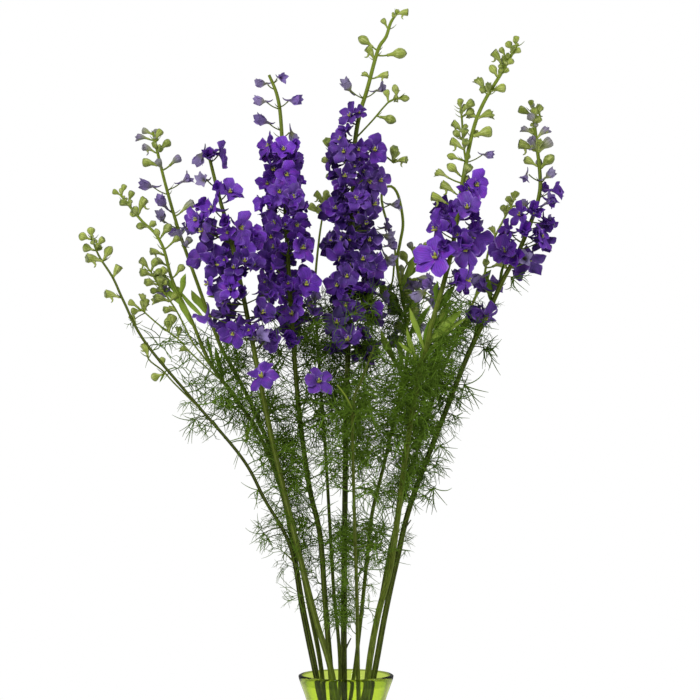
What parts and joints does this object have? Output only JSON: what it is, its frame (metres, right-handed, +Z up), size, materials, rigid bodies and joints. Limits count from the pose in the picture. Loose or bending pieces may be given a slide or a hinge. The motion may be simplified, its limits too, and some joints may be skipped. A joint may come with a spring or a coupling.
{
  "type": "vase of larkspur spikes",
  "caption": "Tall loose bouquet of violet larkspur flower spikes with green bud tips and thread leaves, standing in water in a green glass vase.",
  "frame": {"origin": "centre of the vase's flat foot, on the surface that it stands on", "axes": "+Z up the vase's axis, +X to the right and +Y away from the viewer in the picture"},
  "size_m": [0.474, 0.206, 0.8889],
  "materials": {
    "glass": "gloss",
    "water": "gloss",
    "stem": "satin",
    "petal": "matte"
  },
  "bodies": {
    "root": {"vase": "glass", "water": "water", "stem_01": "stem", "stem_02": "stem", "stem_03": "stem", "stem_04": "stem", "stem_05": "stem", "stem_06": "stem", "stem_07": "stem", "stem_08": "stem", "stem_09": "stem", "stem_10": "stem", "stem_11": "stem", "stem_12": "stem", "flowers_03": "petal", "flowers_04": "petal", "flowers_05": "petal", "flowers_06": "petal", "flowers_07": "petal", "flowers_08": "petal"}
  },
  "joints": []
}
